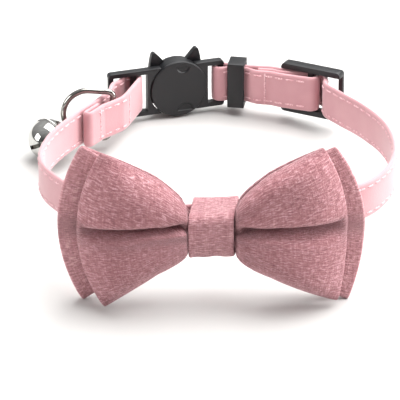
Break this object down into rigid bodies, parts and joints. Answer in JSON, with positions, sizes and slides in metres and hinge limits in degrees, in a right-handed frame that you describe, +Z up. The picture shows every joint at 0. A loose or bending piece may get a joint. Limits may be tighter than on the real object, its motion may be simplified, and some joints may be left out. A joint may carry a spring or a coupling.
{
  "type": "pet bow tie collar",
  "caption": "Fastened pet collar loop with a double cloth bow in front, a cat-head breakaway buckle, a strap slider and a small bell on a D ring",
  "frame": {"origin": "on the table under the middle of the collar's bounding box", "axes": "+Z up from the table, +Y from the bow to the buckle, +X to the right as seen from the bow's front"},
  "size_m": [0.096, 0.1028, 0.0432],
  "materials": {
    "strap": "satin pink imitation leather with stitched ends",
    "bow_cloth": "matte dusty rose ribbed cloth",
    "black_plastic": "satin black moulded",
    "ring_metal": "polished",
    "bell_metal": "polished"
  },
  "bodies": {
    "root": {"strap": "strap", "buckle_clip": "black_plastic", "buckle_cat_head": "black_plastic", "slider": "black_plastic", "keeper": "black_plastic", "d_ring": "ring_metal", "bell": "bell_metal", "bow_rear": "bow_cloth", "bow_front": "bow_cloth", "knot_band": "bow_cloth"}
  },
  "joints": []
}
